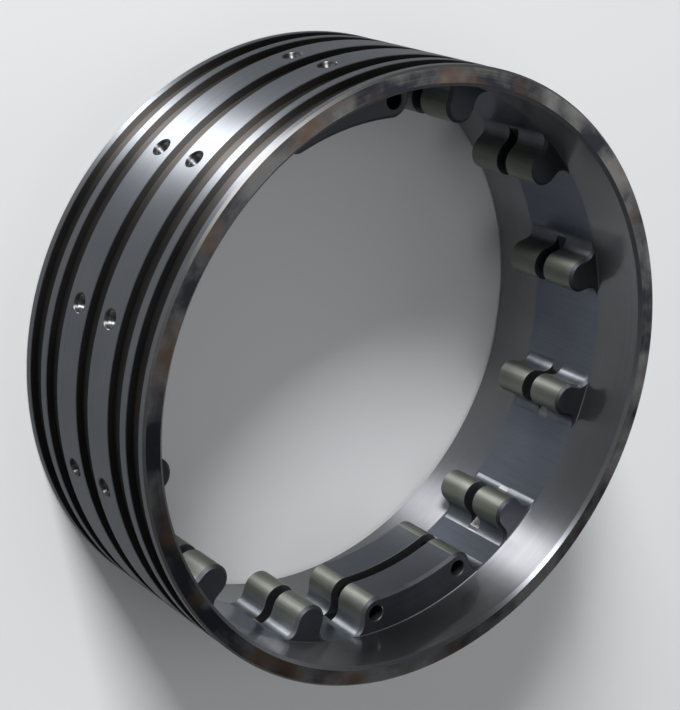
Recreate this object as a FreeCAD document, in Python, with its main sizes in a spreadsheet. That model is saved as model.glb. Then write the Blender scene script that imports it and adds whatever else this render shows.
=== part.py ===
import FreeCAD, Part
import math
import os

# Slotted machined ring, one solid, lying on an end face with the ring's axis along +Z.
# The origin is the centre of the lower end face, and the two arc blocks sit on the X axis.

doc = FreeCAD.newDocument("slotted_machined_ring")

# Sizes in millimetres and degrees; every size that can be set by itself is written once here.
SIZES = [
    ("ring_width", 36.0),
    ("outer_radius", 50.0),
    ("bore_radius", 46.75),
    ("outer_bevel", 0.35),
    ("bore_bevel", 0.55),
    ("groove_width", 3.5),
    ("groove_depth", 1.2),
    ("thin_land", 1.75),
    ("end_land", 1.55),
    ("lug_length", 16.0),
    ("lug_tip_radius", 40.4),
    ("lug_nose_radius", 2.85),
    ("lug_root_radius", 2.1),
    ("lug_root_sink", 1.6),
    ("station_angle", 30.0),
    ("block_end_angle", 11.9),
    ("slot_width", 2.2),
    ("slot_floor_step", 0.15),
    ("pin_hole_radius", 1.4),
    ("screw_core_radius", 1.25),
    ("screw_depth", 7.0),
]

sheet = doc.addObject("Spreadsheet::Sheet", "sizes")
for row, (alias, value) in enumerate(SIZES, start=1):
    sheet.set("A%d" % row, alias)
    sheet.set("B%d" % row, str(value))
    sheet.setAlias("B%d" % row, alias)
doc.recompute()


def size(alias):
    """Value of one named size, read from the sheet."""
    return float(getattr(sheet, alias))


ring_width = size("ring_width")
outer_radius = size("outer_radius")
bore_radius = size("bore_radius")
mid_height = ring_width / 2.0
nose = size("lug_nose_radius")
root = size("lug_root_radius")
tip = size("lug_tip_radius")

body = doc.addObject("PartDesign::Body", "slotted_machined_ring")
body.Label = "slotted_machined_ring"


def origin_feature(role):
    """Origin plane or axis of the body with the given role."""
    for feature in body.Origin.OriginFeatures:
        if feature.Role == role:
            return feature
    raise ValueError(role)


def new_sketch(name, role, component="z", shift=None):
    """Sketch on an origin plane of the body; shift is an expression that moves it along a component."""
    sketch = body.newObject("Sketcher::SketchObject", name)
    sketch.AttachmentSupport = [(origin_feature(role), "")]
    sketch.MapMode = "FlatFace"
    if shift:
        sketch.setExpression("AttachmentOffset.Base." + component, shift)
    return sketch


def add_pattern(name, features, count, angle):
    """Polar pattern of features about the ring's axis, with the first and last copy an angle apart."""
    pattern = body.newObject("PartDesign::PolarPattern", name)
    pattern.Originals = features
    pattern.Axis = (origin_feature("Z_Axis"), [""])
    pattern.Occurrences = count
    pattern.Angle = angle
    body.Tip = pattern
    doc.recompute()
    return pattern


def vector(x, y):
    """Point of a sketch."""
    return FreeCAD.Vector(x, y, 0.0)


def polar(radius, angle):
    """Sketch point at a radius and an angle in radians."""
    return vector(radius * math.cos(angle), radius * math.sin(angle))


def draw_polygon(sketch, points):
    """Closed chain of straight lines through the points."""
    for start, end in zip(points, points[1:] + points[:1]):
        sketch.addGeometry(Part.LineSegment(vector(*start), vector(*end)), False)


def draw_arc(sketch, centre, start, end, turn):
    """Arc about a centre from start to end; turn is 1 for anticlockwise and -1 for clockwise."""
    radius = (start - centre).Length
    first = math.atan2(start.y - centre.y, start.x - centre.x)
    last = math.atan2(end.y - centre.y, end.x - centre.x)
    if turn < 0:
        first, last = last, first
    if last < first:
        last += 2.0 * math.pi
    circle = Part.Circle(centre, FreeCAD.Vector(0.0, 0.0, 1.0), radius)
    sketch.addGeometry(Part.ArcOfCircle(circle, first, last), False)


def draw_line(sketch, start, end):
    """Straight line between two sketch points."""
    sketch.addGeometry(Part.LineSegment(start, end), False)


# Wall of the ring: one turned section with five square grooves in the outside.
# The thin lands stand between the paired grooves. The two wide lands carry the screws,
# and take up the width that the grooves and the other lands leave.
groove_width = size("groove_width")
pitch_thin = groove_width + size("thin_land")
pitch_wide = mid_height - size("end_land") - groove_width / 2.0 - pitch_thin
groove_centres = [
    mid_height - pitch_wide - pitch_thin,
    mid_height - pitch_wide,
    mid_height,
    mid_height + pitch_wide,
    mid_height + pitch_wide + pitch_thin,
]
groove_floor = outer_radius - size("groove_depth")
outer_bevel = size("outer_bevel")
bore_bevel = size("bore_bevel")

section = [(bore_radius + bore_bevel, 0.0), (outer_radius - outer_bevel, 0.0), (outer_radius, outer_bevel)]
for centre in groove_centres:
    low = centre - groove_width / 2.0
    high = centre + groove_width / 2.0
    section += [(outer_radius, low), (groove_floor, low), (groove_floor, high), (outer_radius, high)]
section += [
    (outer_radius, ring_width - outer_bevel),
    (outer_radius - outer_bevel, ring_width),
    (bore_radius + bore_bevel, ring_width),
    (bore_radius, ring_width - bore_bevel),
    (bore_radius, bore_bevel),
]
wall_sketch = new_sketch("wall_section", "XZ_Plane")
draw_polygon(wall_sketch, section)
wall = body.newObject("PartDesign::Revolution", "turned_wall")
wall.Profile = wall_sketch
wall.ReferenceAxis = (origin_feature("Z_Axis"), [""])
wall.Angle = 360.0
doc.recompute()


# A lug is a rounded nose on straight flanks that sweep into the bore with a concave root.
# Its foot is sunk into the wall, so that the two grow into one solid.
def flank_points(angle, side):
    """Points of the flank on one side of a lug that stands at an angle round the bore."""
    turn = FreeCAD.Rotation(FreeCAD.Vector(0.0, 0.0, 1.0), math.degrees(angle))
    root_y = side * (nose + root)
    root_x = math.sqrt((bore_radius - root) ** 2 - root_y ** 2)
    root_angle = math.atan2(root_y, root_x)
    points = {
        "nose_centre": vector(tip + nose, 0.0),
        "nose_tip": vector(tip, 0.0),
        "nose_end": vector(tip + nose, side * nose),
        "flank_end": vector(root_x, side * nose),
        "root_centre": vector(root_x, root_y),
        "root_end": polar(bore_radius, root_angle),
        "foot": polar(bore_radius + size("lug_root_sink"), root_angle),
    }
    return {name: turn.multVec(point) for name, point in points.items()}


def draw_flank(sketch, points, side):
    """Flank, root and foot line of one side of a lug."""
    draw_line(sketch, points["nose_end"], points["flank_end"])
    draw_arc(sketch, points["root_centre"], points["flank_end"], points["root_end"], side)
    draw_line(sketch, points["root_end"], points["foot"])


def draw_lug(sketch, middle, half_angle):
    """Section of a lug; a half angle above nought stretches it along the bore into an arc block."""
    left = flank_points(middle - half_angle, -1)
    right = flank_points(middle + half_angle, 1)
    centre = vector(0.0, 0.0)
    draw_arc(sketch, left["nose_centre"], left["nose_end"], left["nose_tip"], -1)
    if half_angle > 0.0:
        draw_arc(sketch, centre, left["nose_tip"], right["nose_tip"], 1)
    draw_arc(sketch, right["nose_centre"], right["nose_tip"], right["nose_end"], -1)
    draw_flank(sketch, left, -1)
    draw_flank(sketch, right, 1)
    draw_arc(sketch, centre, left["foot"], right["foot"], 1)


def add_lug(name, middle, half_angle):
    """Lug or arc block, centred on the ring's width."""
    sketch = new_sketch(name + "_section", "XY_Plane", "z", "sizes.ring_width / 2")
    draw_lug(sketch, middle, half_angle)
    lug = body.newObject("PartDesign::Pad", name)
    lug.Profile = sketch
    lug.Midplane = True
    lug.setExpression("Length", "sizes.lug_length")
    doc.recompute()
    return lug


# Twelve stations: an arc block at nought and at half a turn, and five single lugs on each side between them.
# Each block is as long as two lugs joined along the bore, and its ends have the same nose, flank and root.
station = size("station_angle")
block_half = math.radians(size("block_end_angle"))
block = add_lug("arc_block", 0.0, block_half)
add_pattern("opposite_block", [block], 2, 360.0)

for side, first in (("left", station), ("right", 180.0 + station)):
    lug = add_lug(side + "_lug", math.radians(first), 0.0)
    add_pattern(side + "_lugs", [lug], 5, 4.0 * station)

# One slot is turned round the bore at mid height. It parts every lug and block down to just above the wall,
# so each becomes a pair of jaws on a thin bridge.
slot_low = mid_height - size("slot_width") / 2.0
slot_high = mid_height + size("slot_width") / 2.0
slot_floor = bore_radius - size("slot_floor_step")
slot_sketch = new_sketch("jaw_slot_section", "XZ_Plane")
slot_inside = tip - 2.0
draw_polygon(
    slot_sketch,
    [(slot_inside, slot_low), (slot_floor, slot_low), (slot_floor, slot_high), (slot_inside, slot_high)],
)
slot = body.newObject("PartDesign::Groove", "jaw_slot")
slot.Profile = slot_sketch
slot.ReferenceAxis = (origin_feature("Z_Axis"), [""])
slot.Angle = 360.0
doc.recompute()

# Plain pin holes run through both jaws of a block, on the centre of each rounded end.
pin_sketch = new_sketch("pin_hole_section", "XY_Plane")
for side in (-1.0, 1.0):
    centre = polar(tip + nose, side * block_half)
    pin_circle = Part.Circle(centre, FreeCAD.Vector(0.0, 0.0, 1.0), size("pin_hole_radius"))
    pin_sketch.addGeometry(pin_circle, False)
pins = body.newObject("PartDesign::Pocket", "pin_holes")
pins.Profile = pin_sketch
pins.Type = "ThroughAll"
pins.Reversed = True
add_pattern("opposite_pin_holes", [pins], 2, 360.0)


# Screw holes are drilled inwards from the wide lands, one into the middle of each jaw.
# Each is the core of an M3 thread, flat at the bottom, and stops short of the bore.
def add_screw_hole(name, shift):
    """One blind radial hole over the middle of the first block, at a height over the lower end face."""
    core_radius = size("screw_core_radius")
    floor = outer_radius - size("screw_depth")
    outside = outer_radius + 0.5
    sketch = new_sketch(name + "_section", "XZ_Plane", "y", shift)
    draw_polygon(
        sketch,
        [(floor, 0.0), (floor, core_radius), (outside, core_radius), (outside, 0.0)],
    )
    hole = body.newObject("PartDesign::Groove", name)
    hole.Profile = sketch
    hole.ReferenceAxis = (sketch, ["H_Axis"])
    hole.Angle = 360.0
    doc.recompute()
    return hole


JAW_SHIFT = "(sizes.lug_length + sizes.slot_width) / 4"
lower_hole = add_screw_hole("lower_screw_hole", "sizes.ring_width / 2 - " + JAW_SHIFT)
upper_hole = add_screw_hole("upper_screw_hole", "sizes.ring_width / 2 + " + JAW_SHIFT)
add_pattern("screw_holes", [lower_hole, upper_hole], 12, 360.0)

doc.recompute()
for item in doc.Objects:
    if "Invalid" in item.State or "Error" in item.State:
        raise RuntimeError("%s: %s" % (item.Name, item.getStatusString()))
    if item.isDerivedFrom("Part::Feature") and (item.Shape.isNull() or not item.Shape.isValid()):
        raise RuntimeError("%s has no valid shape" % item.Name)

solids = body.Shape.Solids
if len(solids) != 1:
    raise RuntimeError("expected one solid, found %d" % len(solids))

os.makedirs("parts", exist_ok=True)
solids[0].exportStep("parts/%s.step" % body.Label)
print("%s: volume %.1f mm3, %d faces" % (body.Label, solids[0].Volume, len(solids[0].Faces)))
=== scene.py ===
"""Slotted machined ring: the turned wall, its slotted lugs and blocks, and the threads in its screw holes."""

import logging
import math
from dataclasses import dataclass
from enum import Enum

import bpy
from bpy.types import ID, Material, Mesh, Node, NodeSocket, NodeTree, Object
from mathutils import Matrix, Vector


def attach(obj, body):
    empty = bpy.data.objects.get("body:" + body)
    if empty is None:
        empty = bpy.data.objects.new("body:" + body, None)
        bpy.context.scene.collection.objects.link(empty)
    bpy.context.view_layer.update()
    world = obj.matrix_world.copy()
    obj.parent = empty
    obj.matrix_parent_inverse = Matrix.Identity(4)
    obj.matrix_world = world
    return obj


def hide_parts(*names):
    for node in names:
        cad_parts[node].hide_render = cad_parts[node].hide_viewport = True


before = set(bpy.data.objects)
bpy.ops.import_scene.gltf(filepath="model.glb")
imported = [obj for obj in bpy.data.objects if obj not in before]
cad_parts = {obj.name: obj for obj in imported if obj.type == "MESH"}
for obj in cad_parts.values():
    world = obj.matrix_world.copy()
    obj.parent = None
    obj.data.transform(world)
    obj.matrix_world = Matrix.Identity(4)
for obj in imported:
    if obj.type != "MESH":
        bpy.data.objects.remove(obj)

# The ring is drawn in millimetres and put into the scene in metres.
MM = 0.001
METRE = 1000.0
NODE = "slotted_machined_ring"

logging.basicConfig(level=logging.INFO, format="%(message)s")
log = logging.getLogger("ring")

Point = tuple[float, float, float]
Colour = tuple[float, float, float]
Pair = tuple[float, float]


class Zone(Enum):
    """Surfaces of the ring that were cut in different ways."""

    LAND = 0
    GROOVE = 1
    OUTER_BEVEL = 2
    END_FACE = 3
    BORE_BAND = 4
    VALLEY = 5
    CREST = 6
    ROOT = 7
    JAW_FACE = 8
    SLOT_WALL = 9
    HOLE = 10
    LUG_BEVEL = 11
    BORE_BEVEL = 12
    ARC_CREST = 13
    SLOT_EDGE = 14
    THREAD = 15
    FOOT = 16
    PIN_HOLE = 17


class Lay(Enum):
    """Direction of the tool marks on a surface."""

    ROUND_THE_WALL = "round the wall"
    ROUND_THE_FACE = "round the face"
    ALONG_THE_AXIS = "along the axis"
    NO_LAY = "none"


@dataclass(frozen=True)
class RingSizes:
    """Sizes of the ring, in millimetres and degrees.

    The outer, bore, lug_tip, nose, root and pin_radius sizes and the screw's core, major and mouth are radii.
    The ends of a block stand block_half to each side of its middle.
    """

    width: float = 36.0
    outer: float = 50.0
    bore: float = 46.75
    outer_bevel: float = 0.35
    bore_bevel: float = 0.55
    groove_width: float = 3.5
    groove_depth: float = 1.2
    thin_land: float = 1.75
    end_land: float = 1.55
    groove_break: float = 0.1
    lug_length: float = 16.0
    lug_tip: float = 40.4
    nose: float = 2.85
    root: float = 2.1
    lug_bevel: float = 0.5
    stations: int = 12
    block_half: float = 11.9
    slot_width: float = 2.2
    slot_floor_step: float = 0.15
    slot_break: float = 0.05
    foot_fillet: float = 0.12
    pin_radius: float = 1.4
    pin_break: float = 0.15
    screw_core: float = 1.25
    screw_major: float = 1.5
    screw_mouth: float = 1.62
    screw_depth: float = 7.0
    screw_pitch: float = 0.5
    screw_turns: float = 12.0
    drill_point: float = 118.0

    @property
    def middle(self) -> float:
        """Height of the middle of the ring."""
        return self.width / 2.0

    @property
    def screw_shift(self) -> float:
        """Height of the screw holes above and below the middle."""
        return (self.lug_length + self.slot_width) / 4.0


def placed(name: str, data: ID) -> Object:
    """Makes an object and links it to the scene.

    Args:
        name: name of the object.
        data: its mesh, lamp or camera.

    Returns:
        The object.
    """
    made = bpy.data.objects.new(name, data)
    bpy.context.scene.collection.objects.link(made)
    return made


def smoothed(name: str, mesh: Mesh, sharp: float) -> Object:
    """Makes an object with smooth shading and sharp edges.

    Args:
        name: name of the object and its mesh.
        mesh: the mesh.
        sharp: angle in degrees over which an edge is sharp.

    Returns:
        The object.
    """
    mesh.name = name
    mesh.shade_smooth()
    mesh.set_sharp_from_angle(angle=math.radians(sharp))
    return placed(name, mesh)


class MeshBook:
    """Collects faces by their corner points, joins equal points and keeps a zone for each face."""

    cells_per_mm: float = 1e5

    def __init__(self) -> None:
        """Starts with no points and no faces."""
        self.points: list[Point] = []
        self.index: dict[tuple[int, ...], int] = {}
        self.faces: list[list[int]] = []
        self.zones: list[int] = []

    def corner(self, point: Point) -> int:
        """Finds a point among those kept, or adds it.

        Args:
            point: point in millimetres.

        Returns:
            Index of the point.
        """
        # Points in the same cell of a very fine grid are one.
        key = tuple(round(part * self.cells_per_mm) for part in point)
        if key not in self.index:
            self.index[key] = len(self.points)
            self.points.append(point)
        return self.index[key]

    def face(self, corners: list[Point], zone: Zone) -> None:
        """Adds a face, or leaves it out if its corners fall together.

        Args:
            corners: points in order, anticlockwise seen from outside the metal.
            zone: how the surface was cut.
        """
        loop: list[int] = []
        for point in corners:
            found = self.corner(point)
            if not loop or (loop[-1] != found and loop[0] != found):
                loop.append(found)
        if len(loop) > 2:
            self.faces.append(loop)
            self.zones.append(zone.value)

    def band(self, low: list[Point], high: list[Point], zones: list[Zone | None]) -> None:
        """Joins two closed rows of points with a strip of four-sided faces.

        Args:
            low: first row of points.
            high: second row, with as many points.
            zones: zone of the face after each point, or None for no face there.
        """
        for i, zone in enumerate(zones):
            j = (i + 1) % len(low)
            if zone is not None:
                self.face([low[i], low[j], high[j], high[i]], zone)

    def zip_rows(self, first: list[Point], second: list[Point], zone: Zone) -> None:
        """Fills the flat space between two closed rows whose points differ in number.

        Args:
            first: row of points by rising angle.
            second: row of points by rising angle, further from the axis.
            zone: zone of the faces.
        """
        turn = 2.0 * math.pi

        def angles(row: list[Point]) -> list[float]:
            """Angles of a row, which rise from its first point on.

            Args:
                row: row of points by rising angle.

            Returns:
                Angle of each point, and last the first one's after a full turn.
            """
            start = math.atan2(row[0][1], row[0][0]) % turn
            start = start - turn if start > math.pi else start
            found = [start + ((math.atan2(p[1], p[0]) - start) % turn) for p in row]
            found[0] = start
            return found + [start + turn]

        one, two = angles(first), angles(second)
        i, j = 0, 0
        while i < len(first) or j < len(second):
            a, b = first[i % len(first)], second[j % len(second)]
            if j >= len(second) or (i < len(first) and one[i + 1] <= two[j + 1]):
                i += 1
                self.face([a, b, first[i % len(first)]], zone)
            else:
                j += 1
                self.face([a, b, second[j % len(second)]], zone)

    def mesh(self, name: str, materials: list[Material]) -> Mesh:
        """Makes the mesh in metres.

        Args:
            name: name of the mesh.
            materials: one material for each zone, or none.

        Returns:
            The mesh.
        """
        made = bpy.data.meshes.new(name)
        made.from_pydata([tuple(c * MM for c in p) for p in self.points], [], self.faces)
        for material in materials:
            made.materials.append(material)
        made.polygons.foreach_set("material_index", self.zones)
        made.update()
        return made


@dataclass(frozen=True)
class SteelFinish:
    """A bare steel surface with the marks of the tool that cut it; the colours of some finishes also hold
    painted shade or painted reflections.

    The marks' pitch and depth and the blotches are in millimetres. The runs and the stain's scale are in
    features per metre.
    """

    name: str
    light: Colour
    dark: Colour
    rough: Pair
    lay: Lay
    grain: float = 0.0
    grain_turn: float = 0.25
    pitch: float = 0.12
    depth: float = 0.002
    blotch: float = 9.0
    stain: Colour | None = None
    stain_amount: float = 0.0
    contrast: float = 0.2
    film: float = 0.0
    film_rough: float = 0.12
    film_index: float = 2.0
    mark_share: float = 0.45
    mark_run: float = 30.0
    axis_run: float = 90.0
    stain_scale: float = 110.0
    stain_gate: Pair = (0.5, 0.68)
    rough_gate: Pair = (0.3, 0.7)
    bump: float = 0.6

    def material(self) -> Material:
        """Builds the shader nodes of the finish.

        Returns:
            The material, which reads Object coordinates only.
        """
        made = bpy.data.materials.new(self.name)
        made.use_nodes = True
        tree = made.node_tree
        nodes, links = tree.nodes, tree.links
        shader = nodes["Principled BSDF"]
        shader.inputs["Metallic"].default_value = 1.0
        if self.grain:
            shader.inputs["Anisotropic"].default_value = self.grain
            shader.inputs["Anisotropic Rotation"].default_value = self.grain_turn
        if self.film:
            shader.inputs["Coat Weight"].default_value = self.film
            shader.inputs["Coat Roughness"].default_value = self.film_rough
            shader.inputs["Coat IOR"].default_value = self.film_index
        place = nodes.new("ShaderNodeTexCoord").outputs["Object"]
        marks = self._marks(tree, place)
        clouds = self._noise(tree, place, METRE / self.blotch, 4.0)

        blend = nodes.new("ShaderNodeMath")
        blend.operation = "MULTIPLY_ADD"
        links.new(marks, blend.inputs[0])
        blend.inputs[1].default_value = self.mark_share
        scaled = nodes.new("ShaderNodeMath")
        scaled.operation = "MULTIPLY"
        links.new(clouds, scaled.inputs[0])
        scaled.inputs[1].default_value = 1.0 - self.mark_share
        links.new(scaled.outputs[0], blend.inputs[2])

        tone = nodes.new("ShaderNodeValToRGB")
        tone.color_ramp.elements[0].position = 0.5 - self.contrast
        tone.color_ramp.elements[0].color = (*self.dark, 1.0)
        tone.color_ramp.elements[1].position = 0.5 + self.contrast
        tone.color_ramp.elements[1].color = (*self.light, 1.0)
        links.new(blend.outputs[0], tone.inputs["Fac"])
        colour = tone.outputs["Color"]
        if self.stain:
            patches = self._noise(tree, place, self.stain_scale, 2.0)
            gate = nodes.new("ShaderNodeMapRange")
            gate.inputs["From Min"].default_value = self.stain_gate[0]
            gate.inputs["From Max"].default_value = self.stain_gate[1]
            gate.inputs["To Max"].default_value = self.stain_amount
            links.new(patches, gate.inputs["Value"])
            mix = nodes.new("ShaderNodeMix")
            mix.data_type = "RGBA"
            links.new(gate.outputs[0], mix.inputs["Factor"])
            links.new(colour, mix.inputs[6])
            mix.inputs[7].default_value = (*self.stain, 1.0)
            colour = mix.outputs[2]
        links.new(colour, shader.inputs["Base Color"])

        spread = nodes.new("ShaderNodeMapRange")
        spread.inputs["From Min"].default_value = self.rough_gate[0]
        spread.inputs["From Max"].default_value = self.rough_gate[1]
        spread.inputs["To Min"].default_value = self.rough[0]
        spread.inputs["To Max"].default_value = self.rough[1]
        links.new(blend.outputs[0], spread.inputs["Value"])
        links.new(spread.outputs[0], shader.inputs["Roughness"])

        bump = nodes.new("ShaderNodeBump")
        bump.inputs["Strength"].default_value = self.bump
        bump.inputs["Distance"].default_value = self.depth * MM
        links.new(marks, bump.inputs["Height"])
        links.new(bump.outputs[0], shader.inputs["Normal"])
        return made

    @staticmethod
    def _noise(tree: NodeTree, place: NodeSocket, scale: float, detail: float) -> NodeSocket:
        """Adds a noise.

        Args:
            tree: tree of the material.
            place: place at which the noise is read.
            scale: features per metre.
            detail: number of finer layers.

        Returns:
            The noise's value, about 0.5.
        """
        noise = tree.nodes.new("ShaderNodeTexNoise")
        noise.inputs["Scale"].default_value = scale
        noise.inputs["Detail"].default_value = detail
        tree.links.new(place, noise.inputs["Vector"])
        return noise.outputs["Fac"]

    def _marks(self, tree: NodeTree, place: NodeSocket) -> NodeSocket:
        """Adds the tool marks: a noise that is drawn out along the lay.

        Args:
            tree: tree of the material.
            place: Object coordinates.

        Returns:
            The marks' height, about 0.5.
        """
        nodes, links = tree.nodes, tree.links
        across = METRE / self.pitch
        along = self.mark_run
        apart = nodes.new("ShaderNodeSeparateXYZ")
        links.new(place, apart.inputs[0])
        sources = list(apart.outputs)
        if self.lay is Lay.ROUND_THE_FACE:
            # The distance from the axis takes the place of the height.
            flat = nodes.new("ShaderNodeCombineXYZ")
            links.new(apart.outputs[0], flat.inputs[0])
            links.new(apart.outputs[1], flat.inputs[1])
            length = nodes.new("ShaderNodeVectorMath")
            length.operation = "LENGTH"
            links.new(flat.outputs[0], length.inputs[0])
            sources[2] = length.outputs["Value"]
        factors = {
            Lay.ROUND_THE_WALL: (along, along, across),
            Lay.ROUND_THE_FACE: (along, along, across),
            Lay.ALONG_THE_AXIS: (across, across, self.axis_run),
            Lay.NO_LAY: (across, across, across),
        }[self.lay]
        join = nodes.new("ShaderNodeCombineXYZ")
        for i, factor in enumerate(factors):
            times = nodes.new("ShaderNodeMath")
            times.operation = "MULTIPLY"
            times.inputs[1].default_value = factor
            links.new(sources[i], times.inputs[0])
            links.new(times.outputs[0], join.inputs[i])
        return self._noise(tree, join.outputs[0], 1.0, 2.0)


FINISHES = {
    Zone.LAND: SteelFinish(
        "fine_turned_land", light=(0.235, 0.245, 0.265), dark=(0.165, 0.175, 0.19), rough=(0.47, 0.51),
        lay=Lay.ROUND_THE_WALL, grain=1.0, pitch=0.09, depth=0.0005, blotch=14.0,
    ),
    # The grooves' dark colour is partly duller, rougher steel and partly painted shade in the recessed
    # grooves.
    Zone.GROOVE: SteelFinish(
        "rough_turned_groove_with_painted_shade", light=(0.075, 0.069, 0.064), dark=(0.038, 0.037, 0.038), rough=(0.5, 0.58),
        lay=Lay.ROUND_THE_WALL, grain=0.97, pitch=0.2, depth=0.0015, blotch=10.0,
    ),
    Zone.OUTER_BEVEL: SteelFinish(
        "outer_bevel", light=(0.17, 0.165, 0.155), dark=(0.11, 0.11, 0.115), rough=(0.46, 0.56),
        lay=Lay.ROUND_THE_WALL, grain=0.6, pitch=0.15, depth=0.0003,
    ),
    # The end face's light and dark blotches and brown patches are partly real staining and partly painted
    # reflections.
    Zone.END_FACE: SteelFinish(
        "faced_end_stains_and_painted_reflections", light=(0.245, 0.24, 0.235), dark=(0.04, 0.042, 0.052), rough=(0.2, 0.3),
        lay=Lay.ROUND_THE_FACE, grain=0.2, pitch=0.08, depth=0.0006, blotch=8.5, stain=(0.14, 0.09, 0.06),
        stain_amount=0.85, contrast=0.09, mark_share=0.15,
    ),
    Zone.BORE_BAND: SteelFinish(
        "bored_band", light=(0.235, 0.235, 0.245), dark=(0.165, 0.165, 0.182), rough=(0.34, 0.4),
        lay=Lay.ROUND_THE_WALL, grain=1.0, pitch=0.1, depth=0.0005, blotch=14.0, film=0.65,
    ),
    Zone.VALLEY: SteelFinish(
        "smooth_valley", light=(0.21, 0.23, 0.275), dark=(0.14, 0.155, 0.19), rough=(0.30, 0.40),
        lay=Lay.ALONG_THE_AXIS, grain=0.3, pitch=0.14, depth=0.0006, blotch=14.0,
    ),
    Zone.CREST: SteelFinish(
        "satin_crest", light=(0.30, 0.31, 0.275), dark=(0.18, 0.19, 0.17), rough=(0.5, 0.6),
        lay=Lay.ALONG_THE_AXIS, grain=0.65, pitch=0.16, depth=0.003, blotch=7.0,
    ),
    Zone.ROOT: SteelFinish(
        "bright_root", light=(0.27, 0.285, 0.305), dark=(0.14, 0.153, 0.17), rough=(0.5, 0.6),
        lay=Lay.ALONG_THE_AXIS, grain=0.8, pitch=0.22, depth=0.004, blotch=3.0,
    ),
    # Almost black colour: painted shade on the faces of the lugs and blocks that look along the axis.
    Zone.JAW_FACE: SteelFinish(
        "faced_jaw_painted_shade", light=(0.064, 0.066, 0.074), dark=(0.042, 0.044, 0.052), rough=(0.42, 0.52),
        lay=Lay.ROUND_THE_FACE, depth=0.001,
    ),
    # Dark colour: painted shade inside the narrow slot.
    Zone.SLOT_WALL: SteelFinish(
        "slot_wall_painted_shade", light=(0.12, 0.12, 0.13), dark=(0.06, 0.06, 0.07), rough=(0.4, 0.55),
        lay=Lay.ROUND_THE_FACE, pitch=0.2, depth=0.003,
    ),
    Zone.HOLE: SteelFinish(
        "drilled_hole", light=(0.20, 0.195, 0.19), dark=(0.11, 0.11, 0.115), rough=(0.46, 0.54),
        lay=Lay.NO_LAY, grain=1.0, pitch=0.3, depth=0.001,
    ),
    # Dark colour: painted shade on the bevels round the lug and block faces.
    Zone.LUG_BEVEL: SteelFinish(
        "lug_bevel", light=(0.07, 0.072, 0.08), dark=(0.045, 0.047, 0.055), rough=(0.5, 0.6),
        lay=Lay.NO_LAY, pitch=0.4, depth=0.0008, blotch=5.0,
    ),
    Zone.BORE_BEVEL: SteelFinish(
        "bore_bevel", light=(0.20, 0.205, 0.215), dark=(0.14, 0.145, 0.16), rough=(0.36, 0.44),
        lay=Lay.ROUND_THE_WALL, grain=0.9, pitch=0.15, depth=0.0003,
    ),
    Zone.ARC_CREST: SteelFinish(
        "turned_crest", light=(0.20, 0.21, 0.23), dark=(0.13, 0.14, 0.16), rough=(0.34, 0.42),
        lay=Lay.ROUND_THE_WALL, grain=0.9, pitch=0.1, depth=0.0006, blotch=12.0,
    ),
    # Dark colour: painted shade along the slot's broken edge.
    Zone.SLOT_EDGE: SteelFinish(
        "slot_edge_painted_shade", light=(0.12, 0.12, 0.13), dark=(0.08, 0.08, 0.09), rough=(0.5, 0.6), lay=Lay.NO_LAY,
        pitch=0.3, depth=0.0008, blotch=5.0,
    ),
    Zone.THREAD: SteelFinish(
        "cut_thread", light=(0.42, 0.42, 0.43), dark=(0.25, 0.25, 0.26), rough=(0.48, 0.54),
        lay=Lay.NO_LAY, grain=1.0, pitch=0.3, depth=0.001,
    ),
    # Dark colour: painted shade on the strip at the foot of each lug face, in the corner with the bore.
    Zone.FOOT: SteelFinish(
        "lug_foot_painted_shade", light=(0.11, 0.11, 0.115), dark=(0.08, 0.08, 0.085), rough=(0.45, 0.55),
        lay=Lay.NO_LAY, pitch=0.3, depth=0.0008, blotch=5.0,
    ),
    # Dark colour: painted shade inside the pin holes.
    Zone.PIN_HOLE: SteelFinish(
        "pin_hole_painted_shade", light=(0.09, 0.087, 0.085), dark=(0.05, 0.05, 0.054), rough=(0.45, 0.55),
        lay=Lay.NO_LAY, pitch=0.3, depth=0.001,
    ),
}


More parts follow.
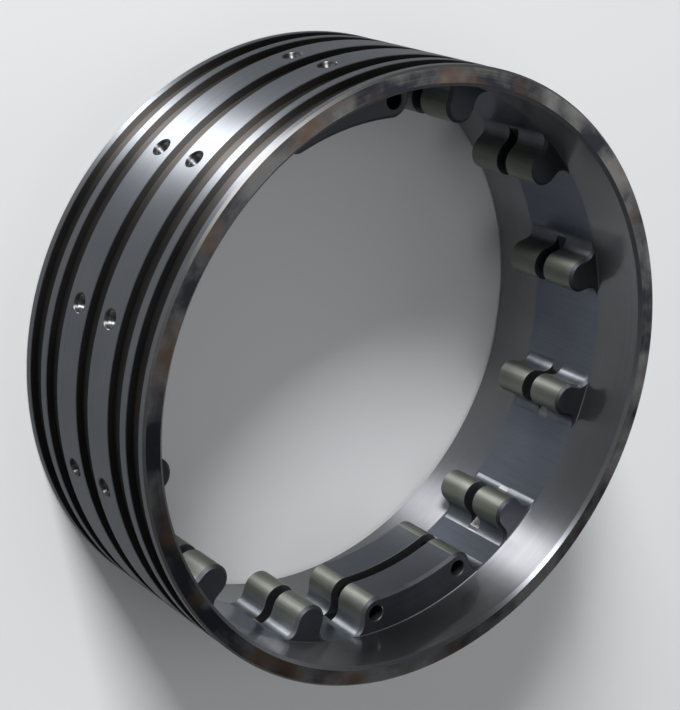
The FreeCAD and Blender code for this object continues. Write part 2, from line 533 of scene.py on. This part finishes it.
@dataclass
class LugOutline:
    """Outline of a lug or block across the axis, from its first root to its last."""

    sizes: RingSizes
    middle: float
    half_angle: float
    root_steps: int = 12
    flank_steps: int = 2
    nose_steps: int = 14
    crest_step: float = 0.5

    def _start(self, inset: float, radius: float) -> float:
        """Finds where a root's arc meets the bore.

        Args:
            inset: how far the arc is drawn into the metal.
            radius: radius of the bore.

        Returns:
            Angle about the root's centre.
        """
        s = self.sizes
        reach = s.bore - s.root
        arc = s.root + inset
        cosine = (radius ** 2 - reach ** 2 - arc ** 2) / (2.0 * reach * arc)
        return math.acos(max(-1.0, min(1.0, cosine)))

    def _half(self, root_inset: float, inset: float) -> list[Pair]:
        """First half of the outline in its own axes, from the bore to the nose.

        Args:
            root_inset: how far it is drawn into the metal where it leaves the bore.
            inset: how far it is drawn in elsewhere.

        Returns:
            Points as distance along the radius and across it.
        """
        s = self.sizes
        y = -(s.nose + s.root)
        x = math.sqrt((s.bore - s.root) ** 2 - y ** 2)
        lean = math.atan2(y, x)
        first = lean + self._start(root_inset, s.bore)
        points = []
        for i in range(self.root_steps + 1):
            part = i / self.root_steps
            arc = s.root + root_inset + (inset - root_inset) * min(1.0, 2.0 * part)
            angle = first + (math.pi / 2.0 - first) * part
            points.append((x + arc * math.cos(angle), y + arc * math.sin(angle)))
        for i in range(1, self.flank_steps + 1):
            part = i / self.flank_steps
            points.append((x + (s.lug_tip + s.nose - x) * part, inset - s.nose))
        for i in range(1, self.nose_steps + 1):
            angle = -math.pi / 2.0 - math.pi / 2.0 * i / self.nose_steps
            arc = s.nose - inset
            points.append((s.lug_tip + s.nose + arc * math.cos(angle), arc * math.sin(angle)))
        return points

    def points(self, root_inset: float = 0.0, inset: float = 0.0) -> list[Pair]:
        """Whole outline round the ring's axis.

        Args:
            root_inset: how far it is drawn in where it leaves the bore.
            inset: how far it is drawn in elsewhere.

        Returns:
            Points across the axis, by rising angle.
        """
        half = self._half(root_inset, inset)
        a = math.radians(self.middle - self.half_angle)
        b = math.radians(self.middle + self.half_angle)
        left = [(x * math.cos(a) - y * math.sin(a), x * math.sin(a) + y * math.cos(a)) for x, y in half]
        half.reverse()
        right = [(x * math.cos(b) + y * math.sin(b), x * math.sin(b) - y * math.cos(b)) for x, y in half]
        if self.half_angle <= 0.0:
            return left + right[1:]
        steps = round(2.0 * self.half_angle / self.crest_step)
        radius = self.sizes.lug_tip + inset
        crest = []
        for i in range(1, steps):
            angle = a + (b - a) * i / steps
            crest.append((radius * math.cos(angle), radius * math.sin(angle)))
        return left + crest + right

    def zones(self) -> list[Zone]:
        """Names the surfaces along the outline.

        Returns:
            Zone of the side face after each point.
        """
        half = [Zone.ROOT] * self.root_steps + [Zone.CREST] * (self.flank_steps + self.nose_steps)
        crest = []
        if self.half_angle > 0.0:
            crest = [Zone.ARC_CREST] * round(2.0 * self.half_angle / self.crest_step)
        return half + crest + half[::-1]

    def spread(self, ends: list[Pair], radius: float) -> list[Pair]:
        """Spreads as many points as an outline has along an arc between its ends.

        Args:
            ends: an outline whose first and last points give the ends.
            radius: radius of the arc.

        Returns:
            Points across the axis, by rising angle.
        """
        first = math.atan2(ends[0][1], ends[0][0])
        last = first + (math.atan2(ends[-1][1], ends[-1][0]) - first) % (2.0 * math.pi)
        steps = len(ends) - 1
        angles = [first + (last - first) * i / steps for i in range(steps + 1)]
        return [(radius * math.cos(angle), radius * math.sin(angle)) for angle in angles]


@dataclass
class RingBody:
    """The ring's one solid: turned wall, lugs, blocks and slot, before it is drilled.

    The valley step and the lug's span are in degrees.
    """

    sizes: RingSizes
    round_steps: int = 720
    valley_step: float = 0.5
    lug_span: float = 12.0

    def _stations(self) -> list[LugOutline]:
        """Places the two blocks and ten lugs round the bore.

        Returns:
            Their outlines, by rising angle.
        """
        s = self.sizes
        step = 360.0 / s.stations
        half = s.stations // 2
        return [LugOutline(s, step * i, s.block_half if i % half == 0 else 0.0) for i in range(s.stations)]

    def _ring(self, lugs: list[list[Pair]], height: float, radius: float) -> list[Point]:
        """One row of points round the bore.

        Args:
            lugs: points of each station's outline at this level.
            height: height of the row.
            radius: radius of the valleys between the stations.

        Returns:
            The row, by rising angle.
        """
        row: list[Point] = []
        for i, lug in enumerate(lugs):
            row += [(x, y, height) for x, y in lug]
            after = lugs[(i + 1) % len(lugs)]
            first = math.atan2(lug[-1][1], lug[-1][0])
            span = (math.atan2(after[0][1], after[0][0]) - first) % (2.0 * math.pi)
            steps = self._valley_steps(i)
            for k in range(1, steps):
                angle = first + span * k / steps
                row.append((radius * math.cos(angle), radius * math.sin(angle), height))
        return row

    def _valley_steps(self, i: int) -> int:
        """Counts the faces across a valley.

        Args:
            i: number of the station before the valley.

        Returns:
            Number of faces.
        """
        s = self.sizes
        half = s.stations // 2
        wide = s.block_half if i % half == 0 or (i + 1) % half == 0 else 0.0
        return round((360.0 / s.stations - self.lug_span - wide) / self.valley_step)

    def _zones(self, sides: list[list[Zone]], lug: Zone | None, valley: Zone | None) -> list[Zone | None]:
        """Joins the zones of one row, station by station.

        Args:
            sides: zones along each station's outline.
            lug: zone that takes their place, or None to keep them.
            valley: zone of the valleys, or None for no face there.

        Returns:
            Zone of each face of the row.
        """
        row: list[Zone | None] = []
        for i, own in enumerate(sides):
            row += own if lug is None else [lug] * len(own)
            row += [valley] * self._valley_steps(i)
        return row

    def _bore(self, book: MeshBook) -> tuple[list[Point], list[Point]]:
        """Adds the bore with its lugs, blocks and slot.

        Args:
            book: where the faces go.

        Returns:
            The lowest and highest rows of points, where the end faces start.
        """
        s = self.sizes
        stations = self._stations()
        full = [o.points() for o in stations]
        drawn_in = [o.points(s.lug_bevel, s.lug_bevel) for o in stations]
        broken = [o.points(0.0, s.slot_break) for o in stations]
        foot = [o.spread(line, s.bore) for o, line in zip(stations, drawn_in)]
        corner = [self._foot_corner(line, row, s.foot_fillet) for line, row in zip(drawn_in, foot)]
        mouth = [o.spread(line, s.bore + s.bore_bevel) for o, line in zip(stations, drawn_in)]
        floor_radius = s.bore - s.slot_floor_step
        floor = [self._slot_floor(o, line, floor_radius) for o, line in zip(stations, broken)]
        sides = [o.zones() for o in stations]

        # Each row has its line, height and valley radius, and the zones of the faces after it on the lugs
        # and in the valleys. None keeps the outlines' own zones on the lugs and leaves a valley open.
        rows = [
            (mouth, 0.0, s.bore + s.bore_bevel, Zone.BORE_BEVEL, Zone.BORE_BEVEL),
            (foot, s.bore_bevel, s.bore, Zone.BORE_BAND, Zone.BORE_BAND),
            (foot, self._low - s.foot_fillet, s.bore, Zone.FOOT, Zone.BORE_BAND),
            (corner, self._low, s.bore, Zone.JAW_FACE, None),
            (drawn_in, self._low, s.bore, Zone.LUG_BEVEL, Zone.VALLEY),
            (full, self._low + s.lug_bevel, s.bore, None, Zone.VALLEY),
            (full, self._slot_low - s.slot_break, s.bore, Zone.SLOT_EDGE, Zone.VALLEY),
            (broken, self._slot_low, s.bore, Zone.SLOT_WALL, None),
            (floor, self._slot_low, s.bore, Zone.BORE_BAND, Zone.VALLEY),
        ]
        upper = [(line, s.width - z, radius) for line, z, radius, _, _ in reversed(rows)]
        levels = [row[:3] for row in rows] + upper
        pattern = [row[3:] for row in rows + rows[-2::-1]]
        built = [self._ring(*level) for level in levels]
        for i, (lug, valley) in enumerate(pattern):
            book.band(built[i + 1], built[i], self._zones(sides, lug, valley))
        return built[0], built[-1]

    @staticmethod
    def _foot_corner(line: list[Pair], foot: list[Pair], fillet: float) -> list[Pair]:
        """Stands the foot of a lug's face off the bore by the fillet in its corner.

        Args:
            line: outline of the lug's face.
            foot: as many points along the bore.
            fillet: width of the fillet, which stops at the outline where that is nearer.

        Returns:
            Foot of the face.
        """
        # Not quite the whole way, so that the row never meets the outline.
        nearly = 0.999
        tiny = 1e-6
        row = []
        for (x, y), (a, b) in zip(line, foot):
            gap = math.hypot(a - x, b - y)
            part = min(1.0, fillet / gap) if gap > tiny else 0.0
            row.append((a + (x - a) * nearly * part, b + (y - b) * nearly * part))
        return row

    @property
    def _low(self) -> float:
        """Height of the lower face of the lugs."""
        return self.sizes.middle - self.sizes.lug_length / 2.0

    @property
    def _slot_low(self) -> float:
        """Height of the lower side of the slot."""
        return self.sizes.middle - self.sizes.slot_width / 2.0

    @staticmethod
    def _slot_floor(outline: LugOutline, line: list[Pair], radius: float) -> list[Pair]:
        """Draws the floor of the slot under one station.

        Args:
            outline: outline of the station.
            line: its points at the side of the slot.
            radius: radius of the floor.

        Returns:
            The points, which follow the roots down to the floor and then the floor.
        """
        inside = [i for i, (x, y) in enumerate(line) if math.hypot(x, y) < radius]
        first, last = inside[0], inside[-1]
        arc = outline.spread(line[first:last + 1], radius)
        return line[:first] + arc + line[last + 1:]

    def _wall(self, book: MeshBook) -> tuple[list[Point], list[Point]]:
        """Adds the outside with its grooves.

        Args:
            book: where the faces go.

        Returns:
            The lowest and highest rows of points, where the end faces start.
        """
        s = self.sizes
        thin = s.groove_width + s.thin_land
        wide = s.middle - s.end_land - s.groove_width / 2.0 - thin
        centres = [s.middle + shift for shift in (-wide - thin, -wide, 0.0, wide, wide + thin)]
        floor = s.outer - s.groove_depth
        profile = [(s.outer - s.outer_bevel, 0.0, Zone.OUTER_BEVEL), (s.outer, s.outer_bevel, Zone.LAND)]
        for centre in centres:
            low, high = centre - s.groove_width / 2.0, centre + s.groove_width / 2.0
            profile += [
                (s.outer, low - s.groove_break, Zone.LAND),
                (s.outer - s.groove_break, low, Zone.GROOVE),
                (floor, low, Zone.GROOVE),
                (floor, high, Zone.GROOVE),
                (s.outer - s.groove_break, high, Zone.LAND),
                (s.outer, high + s.groove_break, Zone.LAND),
            ]
        profile += [
            (s.outer, s.width - s.outer_bevel, Zone.OUTER_BEVEL),
            (s.outer - s.outer_bevel, s.width, Zone.OUTER_BEVEL),
        ]
        angles = [2.0 * math.pi * i / self.round_steps for i in range(self.round_steps)]
        rows = [[(r * math.cos(a), r * math.sin(a), z) for a in angles] for r, z, _ in profile]
        for i in range(len(rows) - 1):
            book.band(rows[i], rows[i + 1], [profile[i][2]] * self.round_steps)
        return rows[0], rows[-1]

    def build(self, materials: list[Material]) -> Object:
        """Builds the closed mesh of the ring before it is drilled.

        Args:
            materials: one for each zone.

        Returns:
            The object, linked to the scene.
        """
        book = MeshBook()
        bore_low, bore_high = self._bore(book)
        wall_low, wall_high = self._wall(book)
        book.zip_rows(bore_high, wall_high, Zone.END_FACE)
        # The lower end face is filled on its own and turned over, so that it looks down.
        flip = MeshBook()
        flip.zip_rows(bore_low, wall_low, Zone.END_FACE)
        for loop in flip.faces:
            book.face([flip.points[i] for i in reversed(loop)], Zone.END_FACE)
        return placed("ring_blank", book.mesh("ring_blank", materials))


class TreeBuilder:
    """A Geometry Nodes tree with named inputs, written as short calls."""

    def __init__(self, name: str, inputs: list[tuple[str, str]]) -> None:
        """Makes the tree and its sockets.

        Args:
            name: name of the tree.
            inputs: name and kind of each input after the geometry.
        """
        self.tree = bpy.data.node_groups.new(name, "GeometryNodeTree")
        face = self.tree.interface
        face.new_socket(name="Geometry", in_out="INPUT", socket_type="NodeSocketGeometry")
        face.new_socket(name="Geometry", in_out="OUTPUT", socket_type="NodeSocketGeometry")
        for label, kind in inputs:
            face.new_socket(name=label, in_out="INPUT", socket_type="NodeSocket" + kind)
        self.given = self.tree.nodes.new("NodeGroupInput")
        self.result = self.tree.nodes.new("NodeGroupOutput")

    def node(self, kind: str, settings: dict[str, object] | None = None, **inputs: object) -> Node:
        """Adds a node.

        Args:
            kind: type of the node.
            settings: properties of the node.
            inputs: links or values, keyed by i and the number of the socket.

        Returns:
            The node.
        """
        made = self.tree.nodes.new(kind)
        for key, value in (settings or {}).items():
            setattr(made, key, value)
        for key, value in inputs.items():
            socket = made.inputs[int(key[1:])]
            if isinstance(value, NodeSocket):
                self.tree.links.new(value, socket)
            else:
                socket.default_value = value
        return made

    def sum(self, kind: str, first: object, second: object) -> NodeSocket:
        """Result of one arithmetic step."""
        return self.node("ShaderNodeMath", {"operation": kind}, i0=first, i1=second).outputs[0]

    def attach(self, target: Object, values: dict[str, object]) -> Mesh:
        """Runs the tree on an object and returns the mesh it makes, with the modifier taken off again.

        Args:
            target: object that carries the tree for the moment.
            values: value of every named input.

        Returns:
            A plain mesh.
        """
        modifier = target.modifiers.new("tree", "NODES")
        modifier.node_group = self.tree
        for item in self.tree.interface.items_tree:
            if item.in_out == "INPUT" and item.name in values:
                modifier[item.identifier] = values[item.name]
        target.update_tag()
        seen = target.evaluated_get(bpy.context.evaluated_depsgraph_get())
        made = bpy.data.meshes.new_from_object(seen)
        target.modifiers.remove(modifier)
        return made


def in_pairs(tree: TreeBuilder) -> tuple[NodeSocket, NodeSocket]:
    """Counts points off in pairs.

    Args:
        tree: tree that makes the points.

    Returns:
        Number of each point's pair, and -1 or 1 for the pair's first or second point.
    """
    index = tree.node("GeometryNodeInputIndex").outputs[0]
    pair = tree.sum("FLOOR", tree.sum("DIVIDE", index, 2.0), 0.0)
    side = tree.sum("SUBTRACT", tree.sum("MULTIPLY", tree.sum("MODULO", index, 2.0), 2.0), 1.0)
    return pair, side


def screw_places(tree: TreeBuilder) -> tuple[NodeSocket, NodeSocket]:
    """Adds a point at every screw hole's mouth.

    Args:
        tree: tree whose inputs name the stations, the radius, the middle and the shift.

    Returns:
        The points, and the turn that lays an object's own Z axis along the hole.
    """
    given = tree.given.outputs
    count = tree.sum("MULTIPLY", given["Stations"], 2.0)
    pair, side = in_pairs(tree)
    angle = tree.sum("DIVIDE", tree.sum("MULTIPLY", pair, 2.0 * math.pi), given["Stations"])
    across = tree.sum("COSINE", angle, 0.0)
    along = tree.sum("SINE", angle, 0.0)
    height = tree.sum("ADD", given["Middle"], tree.sum("MULTIPLY", side, given["Shift"]))
    place = tree.node(
        "ShaderNodeCombineXYZ",
        i0=tree.sum("MULTIPLY", across, given["Radius"]),
        i1=tree.sum("MULTIPLY", along, given["Radius"]),
        i2=height,
    ).outputs[0]
    points = tree.node("GeometryNodePoints", i0=count, i1=place).outputs[0]
    outwards = tree.node("ShaderNodeCombineXYZ", i0=across, i1=along, i2=0.0).outputs[0]
    turn = tree.node("FunctionNodeAlignRotationToVector", {"axis": "Z"}, i2=outwards).outputs[0]
    return points, turn


SCREW_INPUTS = [
    ("Stations", "Int"), ("Radius", "Float"), ("Middle", "Float"), ("Shift", "Float"), ("Finish", "Material"),
]


@dataclass
class Drilling:
    """The screw holes round the wall and the pin holes through the blocks.

    Each drill reaches past the metal by some millimetres. Edges over the sharp angle aren't smoothed.
    """

    sizes: RingSizes
    pins: int = 4
    sides: int = 48
    past: float = 0.5
    sharp: float = 28.0

    def _turned(self, name: str, profile: list[Pair]) -> Object:
        """Turns a profile about Z into a closed solid.

        Args:
            name: name of the object.
            profile: radius and height of each corner, from the lower pole to the upper.

        Returns:
            The object.
        """
        book = MeshBook()
        turns = [2.0 * math.pi * i / self.sides for i in range(self.sides)]
        rows = [[(r * math.cos(t), r * math.sin(t), z) for t in turns] for r, z in profile]
        for low, high in zip(rows, rows[1:]):
            book.band(low, high, [Zone.HOLE] * self.sides)
        return placed(name, book.mesh(name, []))

    def _screw_drill(self) -> Object:
        """Makes the space of one screw hole: drill point, thread root and chamfered mouth.

        Returns:
            The object, with the hole's mouth at nought.
        """
        s = self.sizes
        point = s.screw_major / math.tan(math.radians(s.drill_point / 2.0))
        chamfer = s.screw_mouth - s.screw_major
        return self._turned("screw_drill", [
            (0.0, -s.screw_depth - point),
            (s.screw_major, -s.screw_depth),
            (s.screw_major, -chamfer),
            (s.screw_mouth + self.past, self.past),
            (0.0, self.past),
        ])

    def _pin_drill(self) -> Object:
        """Makes the space of one pin hole, a little longer than the block, with its mouths broken.

        Returns:
            The object, with its middle at nought.
        """
        s = self.sizes
        face = s.lug_length / 2.0
        wide = s.pin_radius + s.pin_break
        return self._turned("pin_drill", [
            (0.0, -face - self.past),
            (wide + self.past, -face - self.past),
            (s.pin_radius, -face + s.pin_break),
            (s.pin_radius, face - s.pin_break),
            (wide + self.past, face + self.past),
            (0.0, face + self.past),
        ])

    def drill(self, blank: Object, finish: Material, pin_finish: Material) -> Object:
        """Cuts every hole out of the ring.

        Args:
            blank: the closed ring.
            finish: material of the walls of the screw holes.
            pin_finish: material of the walls of the pin holes.

        Returns:
            A plain object with the drilled mesh.
        """
        s = self.sizes
        tree = TreeBuilder("drilled_ring", SCREW_INPUTS + [
            ("Screw drill", "Object"), ("Pin drill", "Object"), ("Pin circle", "Float"),
            ("Pin angle", "Float"), ("Pin finish", "Material"),
        ])
        given = tree.given.outputs
        points, turn = screw_places(tree)
        screw = tree.node("GeometryNodeObjectInfo", i0=given["Screw drill"])
        screws = tree.node("GeometryNodeInstanceOnPoints", i0=points, i2=screw.outputs["Geometry"], i5=turn)
        pair, side = in_pairs(tree)
        half = tree.sum("MULTIPLY", pair, math.pi)
        angle = tree.sum("ADD", half, tree.sum("MULTIPLY", side, given["Pin angle"]))
        place = tree.node(
            "ShaderNodeCombineXYZ",
            i0=tree.sum("MULTIPLY", tree.sum("COSINE", angle, 0.0), given["Pin circle"]),
            i1=tree.sum("MULTIPLY", tree.sum("SINE", angle, 0.0), given["Pin circle"]),
            i2=given["Middle"],
        ).outputs[0]
        pin_points = tree.node("GeometryNodePoints", i0=self.pins, i1=place).outputs[0]
        pin = tree.node("GeometryNodeObjectInfo", i0=given["Pin drill"])
        pins = tree.node("GeometryNodeInstanceOnPoints", i0=pin_points, i2=pin.outputs["Geometry"])
        both = tree.node("GeometryNodeJoinGeometry")
        for mark, copies in (("screw_wall", screws), ("pin_wall", pins)):
            real = tree.node("GeometryNodeRealizeInstances", i0=copies.outputs[0])
            marked = tree.node(
                "GeometryNodeStoreNamedAttribute", {"data_type": "BOOLEAN", "domain": "FACE"},
                i0=real.outputs[0], i2=mark, i3=True,
            )
            tree.tree.links.new(marked.outputs[0], both.inputs[0])
        cut = tree.node("GeometryNodeMeshBoolean", {"operation": "DIFFERENCE", "solver": "MANIFOLD"})
        tree.tree.links.new(given["Geometry"], cut.inputs[0])
        tree.tree.links.new(both.outputs[0], cut.inputs[1])
        dressed = tree.node("GeometryNodeRealizeInstances", i0=cut.outputs[0])
        for mark, finish_name in (("screw_wall", "Finish"), ("pin_wall", "Pin finish")):
            where = tree.node("GeometryNodeInputNamedAttribute", {"data_type": "BOOLEAN"}, i0=mark)
            dressed = tree.node(
                "GeometryNodeSetMaterial",
                i0=dressed.outputs[0], i1=where.outputs[0], i2=given[finish_name],
            )
        tree.tree.links.new(dressed.outputs[0], tree.result.inputs[0])

        drills = [self._screw_drill(), self._pin_drill()]
        mesh = tree.attach(blank, {
            "Stations": s.stations,
            "Radius": s.outer * MM,
            "Middle": s.middle * MM,
            "Shift": s.screw_shift * MM,
            "Finish": finish,
            "Screw drill": drills[0],
            "Pin drill": drills[1],
            "Pin circle": (s.lug_tip + s.nose) * MM,
            "Pin angle": math.radians(s.block_half),
            "Pin finish": pin_finish,
        })
        for item in drills + [blank]:
            bpy.data.objects.remove(item)
        return smoothed("drilled_ring", mesh, self.sharp)


@dataclass
class Threads:
    """The thread that stands in from the wall of every screw hole.

    It is sunk into the wall and starts below the mouth, both in millimetres. The shares give the width of the
    ridge at its foot and at its top as parts of the pitch.
    """

    sizes: RingSizes
    steps: int = 20
    sunk: float = 0.03
    first_turn: float = 0.45
    foot_share: float = 0.92
    top_share: float = 0.25
    sharp: float = 35.0

    def build(self, finish: Material) -> Object:
        """Sweeps one thread and repeats it in every hole.

        Args:
            finish: material of the thread.

        Returns:
            A plain object with all the threads.
        """
        s = self.sizes
        tree = TreeBuilder("screw_threads", SCREW_INPUTS + [
            ("Pitch", "Float"), ("Turns", "Float"), ("Steps", "Int"),
            ("Thread radius", "Float"), ("Thread height", "Float"), ("Start", "Float"),
        ])
        given = tree.given.outputs
        length = tree.sum("MULTIPLY", given["Pitch"], given["Turns"])
        half_height = tree.sum("MULTIPLY", given["Thread height"], 0.5)
        middle = tree.sum("SUBTRACT", given["Thread radius"], half_height)
        helix = tree.node(
            "GeometryNodeCurveSpiral",
            i0=given["Steps"], i1=given["Turns"], i2=middle, i3=middle, i4=length,
        )
        upright = tree.node("GeometryNodeSetCurveNormal", {"mode": "Z_UP"}, i0=helix.outputs[0])
        ridge = tree.node("GeometryNodeCurvePrimitiveQuadrilateral", {"mode": "TRAPEZOID"})
        for label, value in (
            ("Height", given["Thread height"]),
            ("Bottom Width", tree.sum("MULTIPLY", given["Pitch"], self.foot_share)),
            ("Top Width", tree.sum("MULTIPLY", given["Pitch"], self.top_share)),
        ):
            tree.tree.links.new(value, ridge.inputs[label])
        ridge.inputs["Offset"].default_value = 0.0
        turned = tree.node("GeometryNodeTransform", i0=ridge.outputs[0])
        turned.inputs["Rotation"].default_value = (0.0, 0.0, math.pi / 2.0)
        swept = tree.node("GeometryNodeCurveToMesh", i0=upright.outputs[0], i1=turned.outputs[0])
        swept.inputs["Fill Caps"].default_value = True
        down = tree.node(
            "ShaderNodeCombineXYZ", i0=0.0, i1=0.0,
            i2=tree.sum("SUBTRACT", tree.sum("MULTIPLY", length, -1.0), given["Start"]),
        )
        moved = tree.node("GeometryNodeTransform", i0=swept.outputs[0])
        tree.tree.links.new(down.outputs[0], moved.inputs["Translation"])
        points, turn = screw_places(tree)
        copies = tree.node("GeometryNodeInstanceOnPoints", i0=points, i2=moved.outputs[0], i5=turn)
        real = tree.node("GeometryNodeRealizeInstances", i0=copies.outputs[0])
        dressed = tree.node("GeometryNodeSetMaterial", i0=real.outputs[0], i2=given["Finish"])
        tree.tree.links.new(dressed.outputs[0], tree.result.inputs[0])

        carrier = placed("thread_carrier", bpy.data.meshes.new("thread_carrier"))
        mesh = tree.attach(carrier, {
            "Stations": s.stations,
            "Radius": s.outer * MM,
            "Middle": s.middle * MM,
            "Shift": s.screw_shift * MM,
            "Finish": finish,
            "Pitch": s.screw_pitch * MM,
            "Turns": s.screw_turns,
            "Steps": self.steps,
            "Thread radius": (s.screw_major + self.sunk) * MM,
            "Thread height": (s.screw_major + self.sunk - s.screw_core) * MM,
            "Start": self.first_turn * MM,
        })
        bpy.data.objects.remove(carrier)
        return smoothed("screw_threads", mesh, self.sharp)


@dataclass(frozen=True)
class Lamp:
    """Area lamp that faces the ring; angles in degrees, lengths in metres and power in watts."""

    name: str
    azimuth: float
    elevation: float
    distance: float
    side: Pair
    power: float


@dataclass
class Studio:
    """Floor, lamps and camera."""

    camera_place: Point = (-0.12556, -0.14162, 0.23510)
    camera_turn: Point = (-20.0461, -36.1173, 79.9018)
    lens: float = 89.77
    nearest: float = 0.01
    floor_half: float = 3.0
    floor_drop: float = 0.00002
    floor_colour: Colour = (0.71, 0.72, 0.73)
    floor_rough: float = 0.9
    floor_gloss: float = 0.1
    world_colour: Colour = (0.8, 0.82, 0.85)
    world_strength: float = 0.19
    aim: Point = (0.0, 0.0, 0.018)
    lamps: tuple[Lamp, ...] = (
        Lamp("key", azimuth=189.5, elevation=24.0, distance=1.6, side=(0.42, 0.5), power=44.5),
        Lamp("rim", azimuth=84.0, elevation=22.0, distance=1.4, side=(0.4, 0.4), power=0.6),
        Lamp("panel", azimuth=78.0, elevation=48.0, distance=1.5, side=(1.0, 0.8), power=1.5),
        Lamp("top", azimuth=228.0, elevation=80.0, distance=1.0, side=(0.8, 0.8), power=1.6),
    )

    def _hang(self, kind: Lamp) -> None:
        """Hangs a lamp so that it faces the ring.

        Args:
            kind: place, size and power of the lamp.
        """
        data = bpy.data.lights.new(kind.name, "AREA")
        data.shape = "RECTANGLE"
        data.size, data.size_y = kind.side
        data.energy = kind.power
        lamp = placed(kind.name, data)
        a, e = math.radians(kind.azimuth), math.radians(kind.elevation)
        back = Vector((math.cos(a) * math.cos(e), math.sin(a) * math.cos(e), math.sin(e)))
        lamp.location = Vector(self.aim) + back * kind.distance
        lamp.rotation_mode = "QUATERNION"
        lamp.rotation_quaternion = back.to_track_quat("Z", "Y")

    def _floor(self) -> None:
        """Plain pale floor under the ring."""
        h = self.floor_half
        mesh = bpy.data.meshes.new("floor")
        mesh.from_pydata([(-h, -h, 0.0), (h, -h, 0.0), (h, h, 0.0), (-h, h, 0.0)], [], [(0, 1, 2, 3)])
        floor = placed("floor", mesh)
        floor.location.z = -self.floor_drop
        paint = bpy.data.materials.new("pale_floor")
        paint.use_nodes = True
        shader = paint.node_tree.nodes["Principled BSDF"]
        shader.inputs["Base Color"].default_value = (*self.floor_colour, 1.0)
        shader.inputs["Roughness"].default_value = self.floor_rough
        shader.inputs["Specular IOR Level"].default_value = self.floor_gloss
        mesh.materials.append(paint)

    def _world(self) -> None:
        """Even grey surroundings."""
        world = bpy.data.worlds.new("studio")
        world.use_nodes = True
        back = world.node_tree.nodes["Background"]
        back.inputs["Color"].default_value = (*self.world_colour, 1.0)
        back.inputs["Strength"].default_value = self.world_strength
        bpy.context.scene.world = world

    def build(self) -> None:
        """Sets up the floor, the lamps, the surroundings and the camera."""
        self._floor()
        self._world()
        for kind in self.lamps:
            self._hang(kind)
        data = bpy.data.cameras.new("camera")
        data.lens = self.lens
        data.clip_start = self.nearest
        camera = placed("camera", data)
        camera.location = self.camera_place
        camera.rotation_euler = tuple(math.radians(v) for v in self.camera_turn)
        bpy.context.scene.camera = camera
        bpy.context.scene.view_settings.view_transform = "Standard"


def main() -> None:
    """Builds the ring's pieces in order, hides the CAD node and sets the studio up."""
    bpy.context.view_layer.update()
    sizes = RingSizes()
    materials = [FINISHES[zone].material() for zone in Zone]
    blank = RingBody(sizes).build(materials)
    log.info("ring blank: %d faces", len(blank.data.polygons))
    ring = Drilling(sizes).drill(blank, materials[Zone.HOLE.value], materials[Zone.PIN_HOLE.value])
    log.info("drilled ring: %d faces", len(ring.data.polygons))
    threads = Threads(sizes).build(materials[Zone.THREAD.value])
    log.info("screw threads: %d faces", len(threads.data.polygons))
    for piece in (ring, threads):
        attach(piece, "root")
    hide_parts(NODE)
    Studio().build()


if __name__ == "__main__":
    main()
